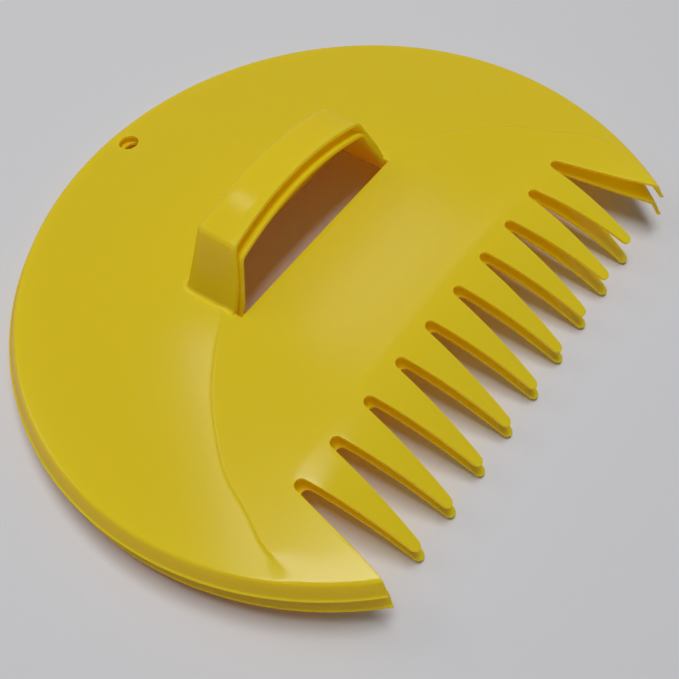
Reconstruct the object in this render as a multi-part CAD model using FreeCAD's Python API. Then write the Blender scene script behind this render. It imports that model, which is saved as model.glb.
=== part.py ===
"""Pair of nested leaf grabbers: two toothed scoops, each one thin moulding with a hollow strap handle.

A scoop is drawn in its own frame first. Its rim lies in the plane z = 0 with the ellipse of the rim
about the origin, the teeth point to -Y and +Z is the outer, crowned side. Then it is tipped until it
stands on its tooth tips and the back of its rim, and a second one is laid over it.
"""
import FreeCAD, Part
import math
import os
from FreeCAD import Matrix, Placement, Rotation, Vector

# Rim and wall
rim_half_width = 190.0
rim_half_depth = 176.7
skirt_height = 8.4
skirt_flare = 4.9
wall = 1.8
cheek_rise = 7.2
cheek_crown = 3.6

# Apron, the raised front field that carries the teeth
apron_rise = 9.0
apron_slope = 0.069
apron_side_drop = 2.1
apron_level_run = 30.0
crease_shares = [(0.368, 0.17), (0.453, 0.124), (0.555, 0.051), (0.637, -0.026), (0.729, -0.142),
                 (0.782, -0.26), (0.824, -0.345), (0.834, -0.413), (0.813, -0.487), (0.779, -0.555),
                 (0.737, -0.62)]

# Teeth
tooth_count = 9
tooth_pitch = 27.4
tooth_length = 60.3
tooth_drop = 25.9
tooth_tip_radius = 3.1
tip_line_bulge = 1.5
root_line = -54.7
root_radius = 3.4
tooth_slope = 0.22
tooth_slope_fade = 0.08
horn_slope = 0.2

# Strap handle
strap_foot_half = 68.4
strap_top_half = 53.8
strap_height = 33.4
strap_arch = 7.9
strap_front = 22.3
strap_front_rake = 9.5
strap_back = 60.5
strap_back_rake = 2.6
strap_sink = 2.2
strap_corner_radius = 5.0
strap_back_radius = 7.0
cutout_lead = 1.5

# Hang hole
hole_radius = 5.8
hole_inset = 16.2

# How the upper scoop lies on the lower one
nest_lift = 7.9
nest_back = 2.0
nest_side = -0.9
nest_pitch = -1.1
nest_roll = 0.5
nest_turn = -0.15

# Overrun of cuts, how many heights are read along and across a free surface, and how many times
# its own height the skirt's flare goes on upward before it is cut
overrun = 60.0
height_rows = 7
skirt_levels = 3

rim_ratio = rim_half_depth / rim_half_width
rim_top_half = rim_half_width - skirt_flare
skirt_slant = math.hypot(skirt_flare, skirt_height) / skirt_height
skirt_skin = wall * skirt_slant
apron_start = skirt_height + apron_rise
last_root = tooth_count * tooth_pitch / 2
last_tip = (tooth_count - 1) * tooth_pitch / 2
horn_start = last_root + root_radius
tip_line = root_line - tooth_length


def height_surface(height, x_half, y_low, y_high):
    """Smooth face through heights that a formula gives on an even grid."""
    steps = range(height_rows)
    last = height_rows - 1
    rows = []
    for i in steps:
        x = x_half * (2 * i / last - 1)
        rows.append([])
        for j in steps:
            y = y_low + (y_high - y_low) * j / last
            rows[-1].append(Vector(x, y, height(x, y)))
    surface = Part.BSplineSurface()
    surface.interpolate(rows)
    return surface.toShape()


def cheek_height(x, y):
    """Top of the crowned plate: highest in the middle, and the skirt's height round the rim."""
    inside = 1 - (x / rim_top_half) ** 2 - (y / rim_top_half / rim_ratio) ** 2
    return skirt_height + cheek_rise * inside + cheek_crown * inside ** 2


def apron_height(x, y):
    """Top of the apron: a straight fall from the strap, half as steep along the horns."""
    run = strap_front - y
    straight = strap_front - root_line
    past = run - straight
    if past > -apron_level_run:
        run = straight - apron_level_run / 8 + past * 3 / 4 - past ** 2 / (8 * apron_level_run)
    if past > apron_level_run:
        run = straight + past / 2
    return apron_start - apron_slope * run - apron_side_drop * (x / rim_half_width) ** 2


def tooth_height(x, y):
    """Top of the teeth: each one bends down from the root line to the common plane of the tips."""
    side = (x / last_root) ** 2
    reach = root_line - y
    tip_reach = tooth_length + tip_line_bulge * (1 - side)
    root_height = apron_height(x, root_line)
    fall = root_height - (apron_height(0, root_line) - tooth_drop)
    slope = tooth_slope - tooth_slope_fade * side
    bend = (fall - slope * tip_reach) / tip_reach ** 2
    return root_height - slope * reach - bend * reach ** 2


def wall_below(height):
    """Lower side of a wall: the height less the wall measured square to the slope."""
    def lower(x, y):
        fall = (height(x, y + wall) - height(x, y)) / wall
        return height(x, y) - wall * math.hypot(1, fall)
    return lower


def narrowed(shape):
    """A round shape drawn in from front to back, from the circle to the rim's ellipse."""
    matrix = Matrix()
    matrix.scale(1, rim_ratio, 1)
    return shape.transformGeometry(matrix)


def skirt_room(inset, depth):
    """Everything inside the flared skirt's outer face, or inside its inner face when set in."""
    slant = skirt_flare / skirt_height
    height = skirt_levels * skirt_height
    half = rim_half_width - inset
    cone = Part.makeCone(half + slant * depth, half - slant * height, depth + height, Vector(0, 0, -depth))
    return narrowed(cone)


def cheek_shell():
    """Crowned plate with its turned-down skirt: one wall under the crown and inside the flare."""
    outer = skirt_room(0, 0).common(below(cheek_height, 0, rim_half_depth))
    return outer.cut(skirt_room(skirt_skin, 0).common(below(wall_below(cheek_height), wall, rim_half_depth)))


def crease_region(inset):
    """Upright block over the apron, bounded at each side by the crease that runs from strap to horn."""
    places = [Vector(rim_half_width * a - inset, rim_half_depth * b, 0) for a, b in crease_shares]
    right = Part.BSplineCurve()
    right.interpolate(places)
    left = Part.BSplineCurve()
    left.interpolate([Vector(-p.x, p.y, 0) for p in reversed(places)])
    front = -rim_half_depth
    corners = [places[-1], Vector(places[-1].x, front, 0), Vector(-places[-1].x, front, 0),
               Vector(-places[-1].x, places[-1].y, 0)]
    edges = [right.toShape()]
    edges += [Part.makeLine(a, b) for a, b in zip(corners, corners[1:])]
    edges.append(left.toShape())
    edges.append(Part.makeLine(Vector(-places[0].x, places[0].y, 0), places[0]))
    face = Part.Face(Part.Wire(edges))
    face.translate(Vector(0, 0, -overrun))
    return face.extrude(Vector(0, 0, 2 * overrun))


def below(height, top, back):
    """Everything under a free surface as far as a back line, down past the teeth."""
    deep = Vector(0, 0, -overrun - top)
    return height_surface(height, rim_half_width, -rim_half_depth, back).extrude(deep)


def above_teeth(height):
    """Everything over the teeth, between the two outermost slots."""
    back = root_line + 4 * root_radius
    face = height_surface(height, last_root, tip_line - 4 * root_radius, back)
    return face.extrude(Vector(0, 0, overrun))


def apron_shell():
    """Wall of the apron and its bent teeth, before the slots are cut."""
    outer = below(apron_height, 0, strap_back).cut(above_teeth(tooth_height))
    inner = below(wall_below(apron_height), wall, strap_back).cut(above_teeth(wall_below(tooth_height)))
    return outer.cut(inner)


def inner_tangent(root, tip, side):
    """Ends of the straight flank that leaves a root circle and meets a tip circle on its other side."""
    across = tip.sub(root)
    turn = math.acos((root_radius + tooth_tip_radius) / across.Length)
    direction = math.atan2(across.y, across.x) + side * turn
    normal = Vector(math.cos(direction), math.sin(direction), 0)
    return root + normal * root_radius, tip - normal * tooth_tip_radius


def comb_cutter():
    """Block that cuts the front free: slots with round ends, and teeth with round tips."""
    roots = []
    for i in range(tooth_count + 1):
        x = -last_root + i * tooth_pitch
        y = root_line - root_radius - tip_line_bulge * (1 - (x / last_root) ** 2)
        roots.append(Vector(x, y, 0))
    tips = []
    for i in range(tooth_count):
        x = -last_tip + i * tooth_pitch
        y = tip_line + tooth_tip_radius - tip_line_bulge * (1 - (x / last_tip) ** 2)
        tips.append(Vector(x, y, 0))
    edges = []
    front = -rim_half_depth - overrun
    horn_far = horn_start + horn_slope * (root_line - front)
    place = Vector(-horn_far, front, 0)
    for i, root in enumerate(roots):
        if i == 0:
            leave = Vector(-horn_start, root.y, 0)
        else:
            leave = inner_tangent(root, tips[i - 1], -1)[0]
        edges.append(Part.makeLine(place, leave))
        if i == tooth_count:
            arrive = Vector(horn_start, root.y, 0)
        else:
            arrive, meet = inner_tangent(root, tips[i], 1)
        edges.append(Part.Arc(leave, root + Vector(0, root_radius, 0), arrive).toShape())
        if i < tooth_count:
            edges.append(Part.makeLine(arrive, meet))
            place = inner_tangent(roots[i + 1], tips[i], -1)[1]
            edges.append(Part.Arc(meet, tips[i] - Vector(0, tooth_tip_radius, 0), place).toShape())
    edges.append(Part.makeLine(arrive, Vector(horn_far, front, 0)))
    edges.append(Part.makeLine(Vector(horn_far, front, 0), Vector(-horn_far, front, 0)))
    face = Part.Face(Part.Wire(edges))
    face.translate(Vector(0, 0, -overrun))
    return face.extrude(Vector(0, 0, 2 * overrun))


def strap_block(inset, low):
    """Arched, drafted block of the strap: its outside, or its hollow when set in by the wall."""
    draft = (strap_foot_half - strap_top_half) / strap_height
    top = apron_start + strap_height - inset
    side_inset = inset * math.hypot(1, draft)
    top_half = strap_top_half - side_inset + draft * inset
    low_half = top_half + draft * (top - low)
    front = strap_front - overrun
    back = strap_back - inset
    arch = Part.Arc(Vector(-top_half, 0, top), Vector(0, 0, top + strap_arch), Vector(top_half, 0, top))
    corners = [Vector(top_half, 0, top), Vector(low_half, 0, low), Vector(-low_half, 0, low),
               Vector(-top_half, 0, top)]
    edges = [arch.toShape()] + [Part.makeLine(a, b) for a, b in zip(corners, corners[1:])]
    face = Part.Face(Part.Wire(edges))
    face.translate(Vector(0, front, 0))
    block = face.extrude(Vector(0, back - front, 0))
    rake = strap_back_rake / strap_height
    lean_back = [(back + rake * (apron_start - low), low), (back - rake * overrun, apron_start + overrun),
                 (back + overrun, apron_start + overrun), (back + overrun, low)]
    corners = [Vector(-rim_half_width, y, z) for y, z in lean_back]
    wedge = Part.Face(Part.makePolygon(corners + [corners[0]])).extrude(Vector(2 * rim_half_width, 0, 0))
    block = block.cut(wedge)
    top_edges = [e for e in block.Edges if is_along_strap(e, top, top_half)]
    block = block.makeFillet(strap_corner_radius - inset, top_edges)
    back_edges = [e for e in block.Edges if is_at_back(e, back, low)]
    return block.makeFillet(strap_back_radius - inset, back_edges)


def is_along_strap(edge, top, top_half):
    """True for the two long edges where the strap's end walls meet its top."""
    middle = edge.CenterOfMass
    return edge.Length > strap_back - strap_front and abs(middle.z - top) < wall and abs(middle.x) > top_half / 2


def is_at_back(edge, back, low):
    """True for the edges round the strap's back wall, without its foot."""
    box = edge.BoundBox
    return box.YMin > back - strap_back_rake * 2 - wall and box.ZMax > low + wall


def front_face_cut(lead):
    """Block in front of the strap's slanting open face, moved forward by a lead."""
    rake = strap_front_rake / strap_height
    front = strap_front - lead
    low = apron_start - overrun
    high = apron_start + overrun
    points = [(front - rake * overrun, low), (front + rake * overrun, high),
              (front - 2 * overrun, high), (front - 2 * overrun, low)]
    corners = [Vector(-rim_half_width, y, z) for y, z in points]
    return Part.Face(Part.makePolygon(corners + [corners[0]])).extrude(Vector(2 * rim_half_width, 0, 0))


def strap_room(inset, low, lead):
    """The strap's block behind its slanting open face."""
    return strap_block(inset, low).cut(front_face_cut(lead))


def scoop():
    """One moulding in its own frame."""
    apron = apron_shell().common(crease_region(0)).common(skirt_room(0, overrun))
    sheet = cheek_shell().cut(crease_region(wall)).fuse(apron).cut(comb_cutter())
    strap = strap_room(0, apron_start - strap_sink, 0)
    shell = sheet.fuse(strap).cut(strap_room(wall, -overrun, cutout_lead))
    hole = Part.makeCylinder(hole_radius, 2 * overrun, Vector(0, rim_half_depth - hole_inset, -overrun))
    return shell.cut(hole)


def standing():
    """Tips the scoop until its tooth tips and the back of its rim touch the ground."""
    tip_height = wall_below(tooth_height)(0, tip_line - tip_line_bulge)
    tilt = math.degrees(math.atan2(-tip_height, rim_half_depth - tip_line + tip_line_bulge))
    return Placement(Vector(0, 0, 0), Rotation(Vector(1, 0, 0), -tilt))


def nested():
    """Place of the upper scoop in the frame of the lower one."""
    turn = Vector(nest_pitch, nest_roll, nest_turn)
    return Placement(Vector(nest_side, nest_back, nest_lift), Rotation(turn, turn.Length))


def placed(shape, placement):
    """Copy of a shape at a placement."""
    copy = shape.copy()
    copy.Placement = placement.multiply(shape.Placement)
    return copy


if __name__ == "__main__":
    os.makedirs("parts", exist_ok=True)
    moulding = scoop()
    scoops = {
        "lower_scoop": placed(moulding, standing()),
        "upper_scoop": placed(moulding, standing().multiply(nested())),
    }
    room = Part.makeCompound(list(scoops.values())).optimalBoundingBox()
    for name, shape in scoops.items():
        shape.translate(Vector(-room.Center.x, -room.Center.y, -room.ZMin))
        print(name, len(shape.Solids), shape.isValid(), shape.Volume, shape.optimalBoundingBox())
        shape.exportStep("parts/" + name + ".step")
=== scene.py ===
"""Looks of the pair of nested leaf grabbers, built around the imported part."""
import math
import bmesh
import bpy
from mathutils import Matrix, Quaternion, Vector


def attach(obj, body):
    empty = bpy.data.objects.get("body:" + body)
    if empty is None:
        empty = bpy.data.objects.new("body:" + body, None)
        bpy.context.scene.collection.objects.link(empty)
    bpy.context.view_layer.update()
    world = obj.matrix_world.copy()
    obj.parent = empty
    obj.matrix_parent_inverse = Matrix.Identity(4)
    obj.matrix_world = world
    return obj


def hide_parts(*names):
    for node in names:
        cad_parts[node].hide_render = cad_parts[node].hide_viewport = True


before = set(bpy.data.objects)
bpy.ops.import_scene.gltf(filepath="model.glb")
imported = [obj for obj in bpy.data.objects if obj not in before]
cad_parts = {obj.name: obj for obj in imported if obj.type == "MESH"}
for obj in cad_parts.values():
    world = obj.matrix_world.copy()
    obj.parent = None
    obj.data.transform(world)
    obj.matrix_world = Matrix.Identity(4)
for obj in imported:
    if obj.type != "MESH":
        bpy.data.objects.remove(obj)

MM = 0.001
PHOTO_PIXELS = 679

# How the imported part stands: each scoop is tipped, then moved to the middle of the row frame
TILT = math.radians(-3.0582)
ROW_SHIFT = Vector((0.446, -29.350, 9.427)) * MM

# How the upper scoop lies on the lower one: turned about this axis, by its length in degrees, and shifted
NEST_SHIFT = Vector((-0.9, 2.0, 7.9)) * MM
NEST_TURN = Vector((-1.1, 0.5, -0.15))

# A scoop in its own frame, in millimetres: rim ellipse in the plane z = 0, teeth to -Y
RIM_TOP_HALF = 185.1
RIM_RATIO = 0.93
SKIRT_HEIGHT = 8.4
SKIRT_FLARE = 4.9
WALL = 1.8
CHEEK_RISE = 7.2
CHEEK_CROWN = 3.6
CORNER_LEAD = 1.3
EDGE_ROUND = 0.35

# The skirt draws in towards its lip, then steps out again, by distance past the rim's corner
LIP_DEPTH = 0.5
LIP_START = 8.5
LIP_LENGTH = 0.5

# Apron: it starts under the strap's front and turns half as steep round the root line
APRON_START = 17.4
APRON_SLOPE = 0.069
APRON_SIDE_DROP = 2.1
APRON_LEVEL_RUN = 30.0
ROOT_LINE = -54.7

# Teeth and the slots between them, which bulge forward in the middle of the row
ROOT_BEND = 5.0
TOOTH_COUNT = 9
TOOTH_PITCH = 27.4
TOOTH_LENGTH = 60.3
TOOTH_DROP = 25.9
TOOTH_SLOPE = 0.22
TOOTH_SLOPE_FADE = 0.08
ROOT_RADIUS = 3.4
TIP_RADIUS = 3.1
BULGE = 1.5

# Crease between crowned plate and apron, from the strap's foot to the horn's inner edge
CREASE = [(69.9, 30.0), (86.1, 21.9), (105.5, 9.0), (121.0, -4.6), (138.5, -25.1), (148.6, -45.9),
          (156.6, -61.0), (158.5, -73.0), (154.5, -86.1), (148.0, -98.1), (140.0, -109.6)]
CREASE_HALF = 0.8
CREASE_FADE = (-64.0, -84.0)
CREASE_FADE_HALF = 12.0

# Horn's inner edge, from its tip to the last slot
HORN = [(144.9, -121.2), (139.2, -113.4), (136.4, -106.0), (126.7, -58.1)]

# Strap: its front edge stands proud by the flare, and its foot rounds out onto the plate
STRAP_FOOT_HALF = 68.4
STRAP_TOP_HALF = 53.8
STRAP_HEIGHT = 33.4
STRAP_ARCH = 7.9
STRAP_FRONT = 22.3
STRAP_FRONT_RAKE = 9.5 / 33.4
STRAP_BACK = 58.2
STRAP_BACK_RAKE = 0.3 / 33.4
STRAP_CORNER = 2.4
STRAP_BACK_ROUND = 4.5
STRAP_FOOT_ROUND = 1.8
STRAP_FLARE = 0.7
STRAP_FLARE_RUN = 6.0

# Mesh of the strap: rows from front to back, rows up its sides by their share of the fall, and steps
STRAP_ROWS = (0.03, 0.07, 0.12, 0.19, 0.3, 0.42, 0.55, 0.7, 1)
STRAP_SIDE_ROWS = (0.8, 0.65, 0.5, 0.35, 0.2)
STRAP_STEPS = 24
STRAP_CORNER_STEPS = 5
STRAP_BACK_STEPS = 6
STRAP_FOOT_STEPS = 5
STRAP_FOOT_END = 1.4

# Cut-out under the strap, and hang hole
CUTOUT_FRONT = 20.8
CUTOUT_BACK = 57.4
CUTOUT_HALF = 67.2
HOLE_RADIUS = 5.8
HOLE_PLACE = 160.5

# How the upper scoop's right front has sprung up: most at the last tooth's tip
SPRING_START = -30.0
SPRING_SIDE = 20.0
SPRING_LIFT = 8.6
SPRING_BEND = 1.6
SPRING_FADE = 85.0

# Mesh of the sheet: grid over the plate, rings round the rim by their distance past its corner
GRID = 3.0
RINGS = (-3.4, -2.2, -1.3, -0.65, 0.0, 0.65, 1.3, 3.4, 5.6, 7.6, 8.4, 8.8, 9.2)
SKIRT_LENGTH = 9.72
RING_TURNS = 90
RING_SWEEP = 135
HORN_STEPS = 400
ROOT_STEPS = 10
TIP_STEPS = 8
HOLE_STEPS = 16
EDGE_STEPS = 2
SLOPE_REACH = WALL * 0.8

# Mesh lines along the crease: their distances from it, and how far they run
CREASE_LINES = (-1.3, -0.8, -0.4, 0.0, 0.4, 0.8, 1.3)
CREASE_FROM = 30.2
CREASE_LAST = -80.0
CREASE_TO = -92.0
CREASE_END_GAP = 0.6
CREASE_STEP = 2.0

# Places nearer than this count as one, in the flat sheet and for its cuts
CLOSE = EDGE_ROUND / 9
CUT_CLOSE = 0.001

LAST_ROOT = TOOTH_COUNT * TOOTH_PITCH / 2
LAST_TIP = LAST_ROOT - TOOTH_PITCH / 2
TIP_LINE = ROOT_LINE - TOOTH_LENGTH

# Finishes: a moulded yellow plastic that lets about half of the light through, and paper
PLASTIC_COLOUR = "#fcfa22"
PLASTIC_ROUGHNESS = 0.16
PLASTIC_IOR = 1.49
THROUGH_COLOUR = "#ffda06"
THROUGH_SHARE = 0.47
PAPER_COLOUR = "#d6d6d9"
PAPER_ROUGHNESS = 0.9
FLOOR_SIDE = 6

# Camera fitted to the photo: azimuth, elevation and roll in degrees, then millimetres and pixels
CAMERA_TURNS = (-54.96, 55.69, -0.18)
CAMERA_AWAY = 540.2
CAMERA_LEFT = 6.89
CAMERA_LOW = 29.89
SENSOR_WIDTH = 36
LENS_PIXELS = 979.3
SHIFT_PIXELS = (-2.96, -4.47)

# Lamps, laid out by what the photo's gloss mirrors: place, target, size, level, turn in degrees
LAMPS = (
    ("softbox", (0, 60, 2000), (0, 60, 0), (1200, 700), 9.2, 0),
    ("back_window", (-600, 2300, 2000), (0, 0, 0), (1200, 1200), 1.8, 0),
    ("slit_window", (345, 957, 2000), (345, 957, 0), (1100, 110), 6.5, 58.9),
    ("strip_lamp", (1350, 660, 2000), (1350, 660, 0), (700, 150), 3.5, 0),
)
WORLD_COLOUR = "#f4f6fa"
WORLD_LEVEL = 0.13
WORLD_SEEN_LEVEL = 0.5


def linear(code):
    """A colour written as #rrggbb, turned into the linear values that a shader takes."""
    values = [int(code[i:i + 2], 16) / 255 for i in (1, 3, 5)]
    return [v / 12.92 if v <= 0.04045 else ((v + 0.055) / 1.055) ** 2.4 for v in values] + [1]


def add_node(tree, kind, settings=None, links=None):
    """Adds a shader node: settings by property or socket name, links by socket name."""
    node = tree.nodes.new(kind)
    for name, value in (settings or {}).items():
        if name in node.inputs:
            node.inputs[name].default_value = value
        else:
            setattr(node, name, value)
    for name, source in (links or {}).items():
        tree.links.new(source, node.inputs[name])
    return node


def new_material(name):
    """An empty material, with its node tree and its output."""
    material = bpy.data.materials.new(name)
    material.use_nodes = True
    material.node_tree.nodes.clear()
    return material, material.node_tree, material.node_tree.nodes.new("ShaderNodeOutputMaterial")


def gloss_plastic():
    """Yellow injection-moulded polypropylene: glossy, and thin enough to let an orange light through."""
    material, tree, output = new_material("gloss_plastic")
    surface = add_node(tree, "ShaderNodeBsdfPrincipled",
                       {"Base Color": linear(PLASTIC_COLOUR), "Roughness": PLASTIC_ROUGHNESS,
                        "IOR": PLASTIC_IOR})
    through = add_node(tree, "ShaderNodeBsdfTranslucent", {"Color": linear(THROUGH_COLOUR)})
    # A face seen from inside the wall only passes light on, a face seen from outside also reflects it
    side = add_node(tree, "ShaderNodeNewGeometry")
    share = add_node(tree, "ShaderNodeMapRange", {"To Min": THROUGH_SHARE, "To Max": 1},
                     {"Value": side.outputs["Backfacing"]})
    mixed = add_node(tree, "ShaderNodeMixShader", links={"Fac": share.outputs["Result"]})
    tree.links.new(surface.outputs["BSDF"], mixed.inputs[1])
    tree.links.new(through.outputs["BSDF"], mixed.inputs[2])
    tree.links.new(mixed.outputs["Shader"], output.inputs["Surface"])
    return material


def floor_finish():
    """Matt pale grey paper."""
    material, tree, output = new_material("grey_paper")
    shader = add_node(tree, "ShaderNodeBsdfPrincipled",
                      {"Base Color": linear(PAPER_COLOUR), "Roughness": PAPER_ROUGHNESS})
    tree.links.new(shader.outputs["BSDF"], output.inputs["Surface"])
    return material


def smooth(value):
    """0 below 0, 1 above 1, and a smooth rise between."""
    value = min(max(value, 0), 1)
    return value * value * (3 - 2 * value)


def crease_place(y):
    """Where the crease lies at a distance y, and how it leans, by a smooth curve through its points."""
    y = min(max(y, CREASE[-1][1]), CREASE[0][1])
    i = 0
    while i < len(CREASE) - 2 and CREASE[i + 1][1] > y:
        i += 1
    (x0, y0), (x1, y1) = CREASE[i], CREASE[i + 1]
    lean = []
    for j in (i, i + 1):
        before, after = CREASE[max(j - 1, 0)], CREASE[min(j + 1, len(CREASE) - 1)]
        lean.append((after[0] - before[0]) / (after[1] - before[1]))
    t = (y - y0) / (y1 - y0)
    step = y1 - y0
    x = (x0 * (2 * t ** 3 - 3 * t ** 2 + 1) + lean[0] * step * (t ** 3 - 2 * t ** 2 + t)
         + x1 * (3 * t ** 2 - 2 * t ** 3) + lean[1] * step * (t ** 3 - t ** 2))
    return x, lean[0] + (lean[1] - lean[0]) * t


def cheek_height(x, y):
    """Top of the crowned plate."""
    inside = 1 - (x / RIM_TOP_HALF) ** 2 - (y / RIM_TOP_HALF / RIM_RATIO) ** 2
    return SKIRT_HEIGHT + CHEEK_RISE * inside + CHEEK_CROWN * inside ** 2


def apron_height(x, y):
    """Top of the apron: a straight fall from the strap, half as steep along the horns."""
    run = STRAP_FRONT - y
    straight = STRAP_FRONT - ROOT_LINE
    past = run - straight
    if past > -APRON_LEVEL_RUN:
        run = straight - APRON_LEVEL_RUN / 8 + past * 3 / 4 - past ** 2 / (8 * APRON_LEVEL_RUN)
    if past > APRON_LEVEL_RUN:
        run = straight + past / 2
    return APRON_START - APRON_SLOPE * run - APRON_SIDE_DROP * (x / RIM_TOP_HALF) ** 2


def tooth_height(x, y):
    """Top of the teeth, which bend down from the root line over a short rounding."""
    side = (x / LAST_ROOT) ** 2
    reach = ROOT_LINE - y
    level = APRON_SLOPE * 3 / 4
    root = apron_height(x, ROOT_LINE)
    tip_reach = TOOTH_LENGTH + BULGE * (1 - side)
    slope = TOOTH_SLOPE - TOOTH_SLOPE_FADE * side
    fall = root - (apron_height(0, ROOT_LINE) - TOOTH_DROP)
    bend = (fall - slope * tip_reach) / tip_reach ** 2
    soft = reach if reach > ROOT_BEND else max(reach + ROOT_BEND, 0) ** 2 / ROOT_BEND / 4
    start = apron_height(x, y) if reach < 0 else root - level * reach
    return start - (slope - level) * soft - bend * max(reach, 0) ** 2


def top_height(x, y):
    """Top of the whole plate inside its rim."""
    x = abs(x)
    if x < LAST_ROOT and y < ROOT_LINE + ROOT_BEND:
        return tooth_height(x, y)
    place, lean = crease_place(y)
    fade = smooth((CREASE_FADE[0] - y) / (CREASE_FADE[0] - CREASE_FADE[1]))
    half = CREASE_HALF + (CREASE_FADE_HALF - CREASE_HALF) * fade
    share = smooth(0.5 - (x - place) / math.hypot(1, lean) / half / 2) * smooth(1 - (y - CREASE[0][1]) / GRID)
    cheek = cheek_height(x, y)
    return cheek + (apron_height(x, y) - cheek) * share


def past_rim(place):
    """How far a place of the flat sheet lies past the rim's corner, less than 0 on the plate."""
    return math.hypot(place.x, place.y / RIM_RATIO) - RIM_TOP_HALF


def outer_point(x, y):
    """Outer face over a place of the flat sheet: crowned plate, rounded corner, flared skirt with its lip."""
    share = math.hypot(x, y / RIM_RATIO) / RIM_TOP_HALF
    past = (share - 1) * RIM_TOP_HALF
    if past < -CORNER_LEAD:
        return Vector((x, y, top_height(x, y)))
    inward = Vector((-1, 2 * CHEEK_RISE / RIM_TOP_HALF)).normalized()
    down = Vector((SKIRT_FLARE, -SKIRT_HEIGHT)).normalized()
    if past < CORNER_LEAD:
        t = (past / CORNER_LEAD + 1) / 2
        offset = ((1 - t) ** 2 * inward + t ** 2 * down) * CORNER_LEAD
    else:
        inset = LIP_DEPTH * (smooth(past / LIP_START) - smooth((past - LIP_START) / LIP_LENGTH))
        offset = down * past + Vector((down.y, -down.x)) * inset
    spread = (1 + offset.x / RIM_TOP_HALF) / share
    return Vector((x * spread, y * spread, SKIRT_HEIGHT + offset.y))


def sheet_point(place):
    """Moves a place of the flat sheet onto the moulding: its depth goes square to the outer face."""
    x, y, depth = place.x, place.y, -place.z
    across = outer_point(x + SLOPE_REACH, y) - outer_point(x - SLOPE_REACH, y)
    along = outer_point(x, y + SLOPE_REACH) - outer_point(x, y - SLOPE_REACH)
    point = outer_point(x, y) - across.cross(along).normalized() * depth
    # The skirt's lower edge ends flat
    if past_rim(place) > SKIRT_HEIGHT:
        point.z = max(point.z, 0)
    return point


def arc(centre, radius, start, end, steps):
    """Points on an arc, angles in degrees."""
    points = []
    for i in range(steps + 1):
        angle = math.radians(start + (end - start) * i / steps)
        points.append(Vector((centre[0] + radius * math.cos(angle), centre[1] + radius * math.sin(angle))))
    return points


def ring_place(past):
    """Where a ring round the rim meets the horn's inner edge."""
    share = 1 + past / RIM_TOP_HALF
    for (x0, y0), (x1, y1) in zip(HORN, HORN[1:]):
        for i in range(HORN_STEPS):
            x, y = x0 + (x1 - x0) * i / HORN_STEPS, y0 + (y1 - y0) * i / HORN_STEPS
            if math.hypot(x, y / RIM_RATIO) / RIM_TOP_HALF < share:
                return Vector((x, y))
    return Vector(HORN[-1])


def ring_points(past, start, end):
    """Points of a ring round the rim between two of its ends."""
    half = RIM_TOP_HALF + past
    first, last = [math.atan2(p.y / RIM_RATIO, p.x) for p in (start, end)]
    points = []
    for i in range(1, RING_TURNS):
        angle = first + (last - first) * i / RING_TURNS
        points.append(Vector((half * math.cos(angle), half * RIM_RATIO * math.sin(angle))))
    return points


def flank_angle(root, tip, side):
    """Direction, in degrees, from the middle of a slot's round end to where a straight flank leaves it."""
    across = tip - root
    turn = math.degrees(math.acos((ROOT_RADIUS + TIP_RADIUS) / across.length))
    return math.degrees(math.atan2(across.y, across.x)) + side * turn


def bulged(x, y, half):
    """A place on a line across the scoop that bulges forward in the middle."""
    return Vector((x, y - BULGE * (1 - (x / half) ** 2)))


def tooth_outline():
    """Edge of the slots and teeth, from the horn's slot to the middle tooth's tip."""
    places = range(TOOTH_COUNT // 2 + 2)
    roots = [bulged(LAST_ROOT - i * TOOTH_PITCH, ROOT_LINE - ROOT_RADIUS, LAST_ROOT) for i in places]
    tips = [bulged(LAST_TIP - i * TOOTH_PITCH, TIP_LINE + TIP_RADIUS, LAST_TIP) for i in places]
    points = []
    arrive = 0
    for root, tip, next_root in zip(roots, tips, roots[1:]):
        leave = flank_angle(root, tip, -1)
        points += arc(root, ROOT_RADIUS, arrive, leave + 360, ROOT_STEPS)
        arrive = flank_angle(next_root, tip, 1)
        last = -90 if abs(tip.x) < TIP_RADIUS else arrive - 180
        points += arc(tip, TIP_RADIUS, leave + 180, last, TIP_STEPS)
    return points


def half_outline():
    """Edge of the flat sheet's right half: rim, horn, slots and teeth, and back along the middle line."""
    half = RIM_TOP_HALF + SKIRT_LENGTH
    back = Vector((0, half * RIM_RATIO))
    points = [back] + ring_points(SKIRT_LENGTH, back, Vector(HORN[0])) + [Vector(HORN[0])]
    points += [ring_place(past) for past in reversed(RINGS)]
    points += [crease_end(i) for i in reversed(range(len(CREASE_LINES)))]
    points += tooth_outline()
    points += [Vector((0, CUTOUT_FRONT)), Vector((CUTOUT_HALF, CUTOUT_FRONT))]
    points += [crease_start(i) for i in range(len(CREASE_LINES))]
    points += [Vector((CUTOUT_HALF, CUTOUT_BACK)), Vector((0, CUTOUT_BACK))]
    points += arc((0, HOLE_PLACE), HOLE_RADIUS, -90, 90, HOLE_STEPS)
    return points + [Vector((0, (RIM_TOP_HALF + past) * RIM_RATIO)) for past in RINGS]


def crease_start(i):
    """Where a mesh line along the crease leaves the cut-out under the strap."""
    return Vector((CUTOUT_HALF, CREASE_FROM + i * CREASE_END_GAP))


def crease_end(i):
    """Where a mesh line along the crease meets the horn's inner edge."""
    (x0, y0), (x1, y1) = HORN[-2:]
    y = CREASE_TO - i * CREASE_END_GAP
    return Vector((x0 + (x1 - x0) * (y - y0) / (y1 - y0), y))


def nearest(points, place):
    """The mesh point nearest to a place of the flat sheet."""
    return min(points, key=lambda p: (p.co.xy - place).length)


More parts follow.
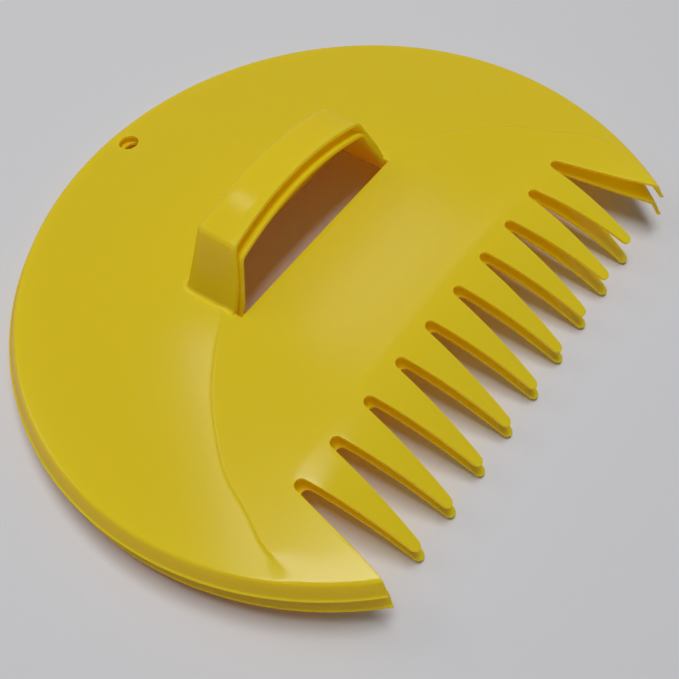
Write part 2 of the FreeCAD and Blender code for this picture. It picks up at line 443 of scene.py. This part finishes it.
def split_sheet(mesh, start, end, points):
    """Splits the flat sheet's two faces along a line between two places on its edge."""
    for level in (0, -WALL):
        choices = []
        for face in mesh.faces:
            if all(abs(v.co.z - level) < CLOSE for v in face.verts):
                first, last = nearest(face.verts, start), nearest(face.verts, end)
                away = (first.co.xy - start).length + (last.co.xy - end).length
                # The second value settles a tie, as faces can't be compared
                choices.append((away, len(choices), face, first, last))
        face, first, last = min(choices)[2:]
        bmesh.utils.face_split(face, first, last, coords=[(p.x, p.y, level) for p in points])


def once(items):
    """Each item once, in the order in which the items come."""
    return list(dict.fromkeys(items))


def made_parts(made, kind):
    """The vertices, edges or faces that a mesh operator reports."""
    return [g for g in made["geom"] if isinstance(g, kind)]


def cut(mesh, faces, place, normal):
    """Cuts some of a mesh's faces along a plane, and returns them with the new ones."""
    edges = once(e for f in faces for e in f.edges)
    corners = once(v for f in faces for v in f.verts)
    found = bmesh.ops.bisect_plane(mesh, geom=faces + edges + corners, dist=CUT_CLOSE, plane_co=place,
                                   plane_no=normal)
    return once(made_parts(found, bmesh.types.BMFace))


def half_sheet():
    """Right half of the sheet, flat and with rounded edges, in cells fine enough to be bent."""
    mesh = bmesh.new()
    face = mesh.faces.new([mesh.verts.new((p.x, p.y, 0)) for p in half_outline()])
    face.normal_update()
    if face.normal.z > 0:
        face.normal_flip()
    made = bmesh.ops.extrude_face_region(mesh, geom=[face])
    bmesh.ops.translate(mesh, verts=made_parts(made, bmesh.types.BMVert), vec=(0, 0, -WALL))
    bmesh.ops.recalc_face_normals(mesh, faces=mesh.faces)
    rims = [e for e in mesh.edges if abs(e.verts[0].co.z - e.verts[1].co.z) < WALL / 2
            and max(v.co.x for v in e.verts) > CLOSE]
    bmesh.ops.bevel(mesh, geom=rims, offset=EDGE_ROUND, segments=EDGE_STEPS, profile=0.5, affect="EDGES",
                    material=-1, clamp_overlap=False)
    # The face along the middle line goes, so that the mirrored half joins on
    middle = [f for f in mesh.faces if all(v.co.x < CLOSE for v in f.verts)]
    bmesh.ops.delete(mesh, geom=middle, context="FACES")
    for past in RINGS:
        start, end = Vector((0, (RIM_TOP_HALF + past) * RIM_RATIO)), ring_place(past)
        split_sheet(mesh, start, end, ring_points(past, start, end))
    for i, aside in enumerate(CREASE_LINES):
        points = []
        y = CREASE_FROM - CREASE_STEP
        while y > CREASE_LAST:
            points.append(Vector((crease_place(y)[0] + aside * math.hypot(1, crease_place(y)[1]), y)))
            y -= CREASE_STEP
        split_sheet(mesh, crease_start(i), crease_end(i), points)
    ring = [f for f in mesh.faces if past_rim(f.calc_center_median()) > RINGS[0]]
    plate = [f for f in mesh.faces if past_rim(f.calc_center_median()) <= RINGS[0]]
    for i in range(1, RING_TURNS):
        angle = math.radians(90 - RING_SWEEP * i / RING_TURNS)
        ring = cut(mesh, ring, (0, 0, 0), (math.sin(angle) * RIM_RATIO, -math.cos(angle), 0))
    for i in range(1, math.ceil(RIM_TOP_HALF / GRID)):
        plate = cut(mesh, plate, (i * GRID, 0, 0), (1, 0, 0))
    for i in range(math.floor(TIP_LINE / GRID), math.ceil(RIM_TOP_HALF / GRID)):
        plate = cut(mesh, plate, (0, i * GRID, 0), (0, 1, 0))
    return mesh


def strap_front(z):
    """Where the strap's open front lies at a height."""
    return STRAP_FRONT + STRAP_FRONT_RAKE * (z - APRON_START)


def strap_back(z):
    """Where the strap's back wall lies at a height."""
    return STRAP_BACK - STRAP_BACK_RAKE * (z - APRON_START)


def is_back(place):
    """True for places on the strap's back wall."""
    return abs(place.y - strap_back(place.z)) < EDGE_ROUND


def strap_wall():
    """Outer face of the strap down to where its foot begins to round out, as an open mesh."""
    mesh = bmesh.new()
    radius = (STRAP_TOP_HALF ** 2 + STRAP_ARCH ** 2) / STRAP_ARCH / 2
    top = APRON_START + STRAP_HEIGHT
    slope = math.degrees(math.asin(STRAP_TOP_HALF / radius))
    draft = (STRAP_FOOT_HALF - STRAP_TOP_HALF) / STRAP_HEIGHT
    falls = [STRAP_HEIGHT * share for share in STRAP_SIDE_ROWS]
    right = [Vector((STRAP_TOP_HALF + draft * fall, top - fall)) for fall in falls]
    arch = arc((0, top + STRAP_ARCH - radius), radius, 90 - slope, 90 + slope, STRAP_STEPS)
    outline = right + arch + [Vector((-p.x, p.y)) for p in reversed(right)]
    row = [mesh.verts.new((p.x, strap_front(p.y), p.y)) for p in outline]
    edges = [mesh.edges.new(pair) for pair in zip(row, row[1:])]
    for share in STRAP_ROWS:
        made = bmesh.ops.extrude_edge_only(mesh, edges=edges)
        corners = made_parts(made, bmesh.types.BMVert)
        edges = [e for e in made_parts(made, bmesh.types.BMEdge) if all(v in corners for v in e.verts)]
        for v in corners:
            front, back = strap_front(v.co.z), strap_back(v.co.z)
            v.co.y = front + (back - front) * share
    along = [e for e in mesh.edges
             if all(min((v.co.xz - arch[end]).length for end in (0, -1)) < EDGE_ROUND for v in e.verts)]
    bmesh.ops.bevel(mesh, geom=along, offset=STRAP_CORNER, segments=STRAP_CORNER_STEPS, profile=0.5,
                    affect="EDGES", material=-1)
    back = [e for e in mesh.edges if e.is_boundary and all(is_back(v.co) for v in e.verts)]
    ends = sorted(once(v for e in back for v in e.verts), key=lambda v: v.co.z)[:2]
    foot = mesh.edges.new(ends)
    bmesh.ops.contextual_create(mesh, geom=back + [foot])
    bmesh.ops.bevel(mesh, geom=back, offset=STRAP_BACK_ROUND, segments=STRAP_BACK_STEPS, profile=0.5,
                    affect="EDGES", material=-1)
    foot = [e for e in mesh.edges if e.is_boundary and all(is_back(v.co) for v in e.verts)]
    bmesh.ops.subdivide_edges(mesh, edges=foot, cuts=STRAP_STEPS)
    mesh.normal_update()
    if max(mesh.faces, key=lambda f: f.calc_center_median().z).normal.z < 0:
        bmesh.ops.reverse_faces(mesh, faces=mesh.faces)
    mesh.normal_update()
    # All but the front edge draws in, which leaves the edge as a flare
    for v in mesh.verts:
        near = max(1 - (v.co.y - strap_front(v.co.z)) / STRAP_FLARE_RUN, 0)
        v.co -= v.normal * STRAP_FLARE * (1 - near ** 2)
    mesh.normal_update()
    return mesh


def strap():
    """The whole strap: its outer face with a rounded foot, and its inner face a wall behind it."""
    mesh = strap_wall()
    inner = {v: v.co - v.normal * WALL for v in mesh.verts}
    foot = [e for e in mesh.edges if e.is_boundary
            and not all(abs(v.co.y - strap_front(v.co.z)) < EDGE_ROUND for v in e.verts)]
    feet = {}
    for v in once(v for e in foot for v in e.verts):
        level = math.hypot(v.normal.x, v.normal.y)
        out = Vector((v.normal.x / level, v.normal.y / level, 0))
        down = out * v.normal.z - Vector((0, 0, level))
        drop = v.co.z - top_height(v.co.x, v.co.y) - STRAP_FOOT_ROUND * level
        v.co += down * drop / level
        inner[v] += down * drop / level
        feet[v] = (v.co + down * STRAP_FOOT_ROUND, down, out, inner[v])
    steps = [i / STRAP_FOOT_STEPS for i in range(1, STRAP_FOOT_STEPS + 1)] + [STRAP_FOOT_END]
    for t in steps:
        made = bmesh.ops.extrude_edge_only(mesh, edges=foot)
        corners = made_parts(made, bmesh.types.BMVert)
        foot = [e for e in made_parts(made, bmesh.types.BMEdge) if all(v in corners for v in e.verts)]
        for v in corners:
            before = [e.other_vert(v) for e in v.link_edges if e.other_vert(v) in feet]
            start, down, out, inside = feet[before[0]]
            place = start + (t ** 2 * out - max(1 - t, 0) ** 2 * down) * STRAP_FOOT_ROUND
            place.z += top_height(place.x, place.y) - top_height(start.x, start.y)
            # The last row dips into the plate, so that no gap shows
            if t > 1:
                place.z -= WALL / 2
            inner[v] = inside + down * (STRAP_FOOT_ROUND + WALL) * t / steps[-1]
            v.co = place
        feet.update({v: feet[next(e.other_vert(v) for e in v.link_edges if e.other_vert(v) in feet)]
                     for v in corners})
    made = bmesh.ops.duplicate(mesh, geom=mesh.verts[:] + mesh.edges[:] + mesh.faces[:])
    bmesh.ops.reverse_faces(mesh, faces=made_parts(made, bmesh.types.BMFace))
    for v, place in inner.items():
        made["vert_map"][v].co = place
    bmesh.ops.bridge_loops(mesh, edges=[e for e in mesh.edges if e.is_boundary])
    bmesh.ops.recalc_face_normals(mesh, faces=mesh.faces)
    return mesh


def scoop_mesh():
    """One whole moulding in its own frame, in millimetres: the bent sheet, mirrored, and its strap."""
    mesh = half_sheet()
    for v in mesh.verts:
        v.co = sheet_point(v.co.copy())
    bmesh.ops.mirror(mesh, geom=mesh.verts[:] + mesh.edges[:] + mesh.faces[:], matrix=Matrix.Identity(4),
                     merge_dist=CLOSE, axis="X")
    bmesh.ops.recalc_face_normals(mesh, faces=mesh.faces)
    part = strap()
    data = bpy.data.meshes.new("strap")
    part.to_mesh(data)
    mesh.from_mesh(data)
    bpy.data.meshes.remove(data)
    for face in mesh.faces:
        face.smooth = True
    return mesh


def sprung(place):
    """Lift of the upper scoop's right front, which has sprung up off the lower one."""
    reach = max((SPRING_START - place.y) / (SPRING_START - TIP_LINE), 0)
    side = min(max((place.x - SPRING_SIDE) / (LAST_TIP - SPRING_SIDE), 0), 1)
    aside = max(place.x - LAST_TIP, 0)
    bent = SPRING_LIFT * reach ** SPRING_BEND * side ** SPRING_BEND
    return bent * max(1 - aside / SPRING_FADE, 0)


def add_moulding(name, body, node, mesh, place, springs, material):
    """One scoop as a finished piece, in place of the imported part's own."""
    shape = mesh.copy()
    if springs:
        for v in shape.verts:
            v.co.z += sprung(v.co)
    shape.transform(place @ Matrix.Scale(MM, 4))
    data = bpy.data.meshes.new(name)
    shape.to_mesh(data)
    shape.free()
    data.materials.append(material)
    piece = bpy.data.objects.new(name, data)
    bpy.context.scene.collection.objects.link(piece)
    normals = piece.modifiers.new("face_normals", "WEIGHTED_NORMAL")
    normals.mode = "FACE_AREA"
    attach(piece, body)
    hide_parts(node)


def add_camera():
    """Camera fitted to the photo, first in the lower scoop's own frame."""
    azimuth, elevation, roll = [math.radians(v) for v in CAMERA_TURNS]
    back = Vector((math.sin(azimuth) * math.cos(elevation), -math.cos(azimuth) * math.cos(elevation),
                   math.sin(elevation)))
    right = Vector((math.cos(azimuth), math.sin(azimuth), 0))
    right.rotate(Matrix.Rotation(roll, 3, back))
    up = back.cross(right)
    place = Matrix((right, up, back)).transposed().to_4x4()
    place.translation = (back * CAMERA_AWAY - right * CAMERA_LEFT - up * CAMERA_LOW) * MM
    data = bpy.data.cameras.new("camera")
    data.sensor_width = SENSOR_WIDTH
    data.lens = LENS_PIXELS / PHOTO_PIXELS * SENSOR_WIDTH
    data.shift_x, data.shift_y = [pixels / PHOTO_PIXELS for pixels in SHIFT_PIXELS]
    camera = bpy.data.objects.new("camera", data)
    camera.matrix_world = Matrix.Translation(ROW_SHIFT) @ Matrix.Rotation(TILT, 4, "X") @ place
    bpy.context.scene.collection.objects.link(camera)
    bpy.context.scene.camera = camera


def add_floor():
    """Wide pale floor under the object."""
    bpy.ops.mesh.primitive_plane_add(size=FLOOR_SIDE)
    floor = bpy.context.object
    floor.name = "floor"
    floor.data.materials.append(floor_finish())


def add_lamp(name, place, target, size, level, turn):
    """A flat white lamp that faces its target, in millimetres, as bright as a white of that level."""
    data = bpy.data.lights.new(name, "AREA")
    data.shape = "RECTANGLE"
    data.size, data.size_y = Vector(size) * MM
    data.energy = level * math.pi * data.size * data.size_y
    lamp = bpy.data.objects.new(name, data)
    lamp.location = Vector(place) * MM
    lamp.rotation_mode = "QUATERNION"
    facing = (Vector(place) - Vector(target)).to_track_quat("Z", "Y")
    lamp.rotation_quaternion = facing @ Quaternion((0, 0, 1), math.radians(turn))
    bpy.context.scene.collection.objects.link(lamp)


def add_world():
    """Even pale light from all round, which the camera and the gloss see as a paler grey."""
    world = bpy.data.worlds.new("world")
    world.use_nodes = True
    tree = world.node_tree
    ray = add_node(tree, "ShaderNodeLightPath")
    seen = add_node(tree, "ShaderNodeMath", {"operation": "MAXIMUM"})
    tree.links.new(ray.outputs["Is Camera Ray"], seen.inputs[0])
    tree.links.new(ray.outputs["Is Glossy Ray"], seen.inputs[1])
    strength = add_node(tree, "ShaderNodeMapRange", {"To Min": WORLD_LEVEL, "To Max": WORLD_SEEN_LEVEL},
                        {"Value": seen.outputs["Value"]})
    tree.nodes["Background"].inputs["Color"].default_value = linear(WORLD_COLOUR)
    tree.links.new(strength.outputs["Result"], tree.nodes["Background"].inputs["Strength"])
    bpy.context.scene.world = world


yellow = gloss_plastic()
scoop = scoop_mesh()
stand = Matrix.Translation(ROW_SHIFT) @ Matrix.Rotation(TILT, 4, "X")
nest = Matrix.Translation(NEST_SHIFT) @ Matrix.Rotation(math.radians(NEST_TURN.length), 4, NEST_TURN)
add_moulding("lower_moulding", "lower_scoop", "lower_scoop", scoop, stand, False, yellow)
add_moulding("upper_moulding", "upper_scoop", "upper_scoop", scoop, stand @ nest, True, yellow)
add_camera()
add_floor()
for lamp in LAMPS:
    add_lamp(*lamp)
add_world()
bpy.context.scene.view_settings.view_transform = "Standard"
